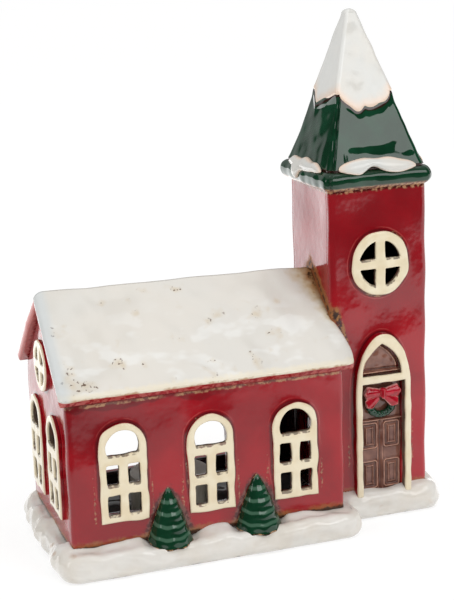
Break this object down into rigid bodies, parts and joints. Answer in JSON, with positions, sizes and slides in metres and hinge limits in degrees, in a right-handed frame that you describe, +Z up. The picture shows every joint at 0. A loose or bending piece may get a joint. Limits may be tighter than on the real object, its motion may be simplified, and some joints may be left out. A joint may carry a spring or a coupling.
{
  "type": "ceramic christmas village house",
  "caption": "Glazed ceramic village church with a snowy pitched roof, pierced arched windows, a square tower with a spire, and a rear opening for a battery tealight.",
  "frame": {"origin": "on the table, under the middle of the base", "axes": "+Z up to the tip of the spire; -Y to the front with the windows and the door; +X to the tower end"},
  "size_m": [0.1968, 0.099, 0.2426],
  "materials": {
    "red_glaze": "glossy deep red glaze that thins to pink and brown on edges",
    "snow_glaze": "glossy off-white snow glaze with brown specks",
    "cream_glaze": "satin cream glaze with burnt pane edges",
    "green_glaze": "glossy dark green glaze",
    "brown_glaze": "chocolate brown glaze that breaks tan on relief",
    "bow_glaze": "glossy red glaze with pale edges",
    "shell_plastic": "moulded white plastic",
    "flame_plastic": "frosted amber plastic",
    "board_laminate": "green board laminate",
    "led_lens": "clear amber lens",
    "cell_steel": "bright steel",
    "contact_brass": "spring brass",
    "hatch_plastic": "moulded pale plastic",
    "switch_plastic": "black moulded plastic"
  },
  "bodies": {
    "house": {"snow_base": "snow_glaze", "nave_front_wall": "red_glaze", "nave_rear_wall": "red_glaze", "nave_gable_wall": "red_glaze", "nave_tower_wall": "red_glaze", "roof_front_slab": "snow_glaze", "roof_rear_slab": "snow_glaze", "tower_front_wall": "red_glaze", "tower_rear_wall": "red_glaze", "tower_left_wall": "red_glaze", "tower_right_wall": "red_glaze", "spire": "green_glaze", "spire_snow_cap": "snow_glaze", "spire_eave_snow": "snow_glaze", "front_window_left": "cream_glaze", "front_window_middle": "cream_glaze", "front_window_right": "cream_glaze", "gable_window_front": "cream_glaze", "gable_window_rear": "cream_glaze", "gable_round_window": "cream_glaze", "tower_round_window": "cream_glaze", "door_frame": "cream_glaze", "fanlight_panel": "brown_glaze", "door_panel": "brown_glaze", "door_wreath": "green_glaze", "door_bow": "bow_glaze", "tree_left": "green_glaze", "tree_right": "green_glaze"},
    "tealight": {"tealight_shell": "shell_plastic", "tealight_flame": "flame_plastic", "tealight_board": "board_laminate", "tealight_led": "led_lens", "tealight_coin_cell": "cell_steel", "tealight_contacts": "contact_brass", "tealight_bottom_plate": "shell_plastic"},
    "hatch": {"tealight_battery_hatch": "hatch_plastic"},
    "switch": {"tealight_switch": "switch_plastic"}
  },
  "joints": [
    {"name": "tealight_lift_out", "type": "slide", "parent": "house", "child": "tealight", "axis": [0, 0.9397, 0.342], "range_m": [0, 0.1]},
    {"name": "hatch_twist", "type": "hinge", "parent": "tealight", "child": "hatch", "pos_m": [-0.03615, -0.009, 0.0138], "axis": [0, 0, 1], "range_deg": [0, 30]},
    {"name": "switch_slide", "type": "slide", "parent": "tealight", "child": "switch", "axis": [1, 0, 0], "range_m": [0, 0.0025]}
  ]
}
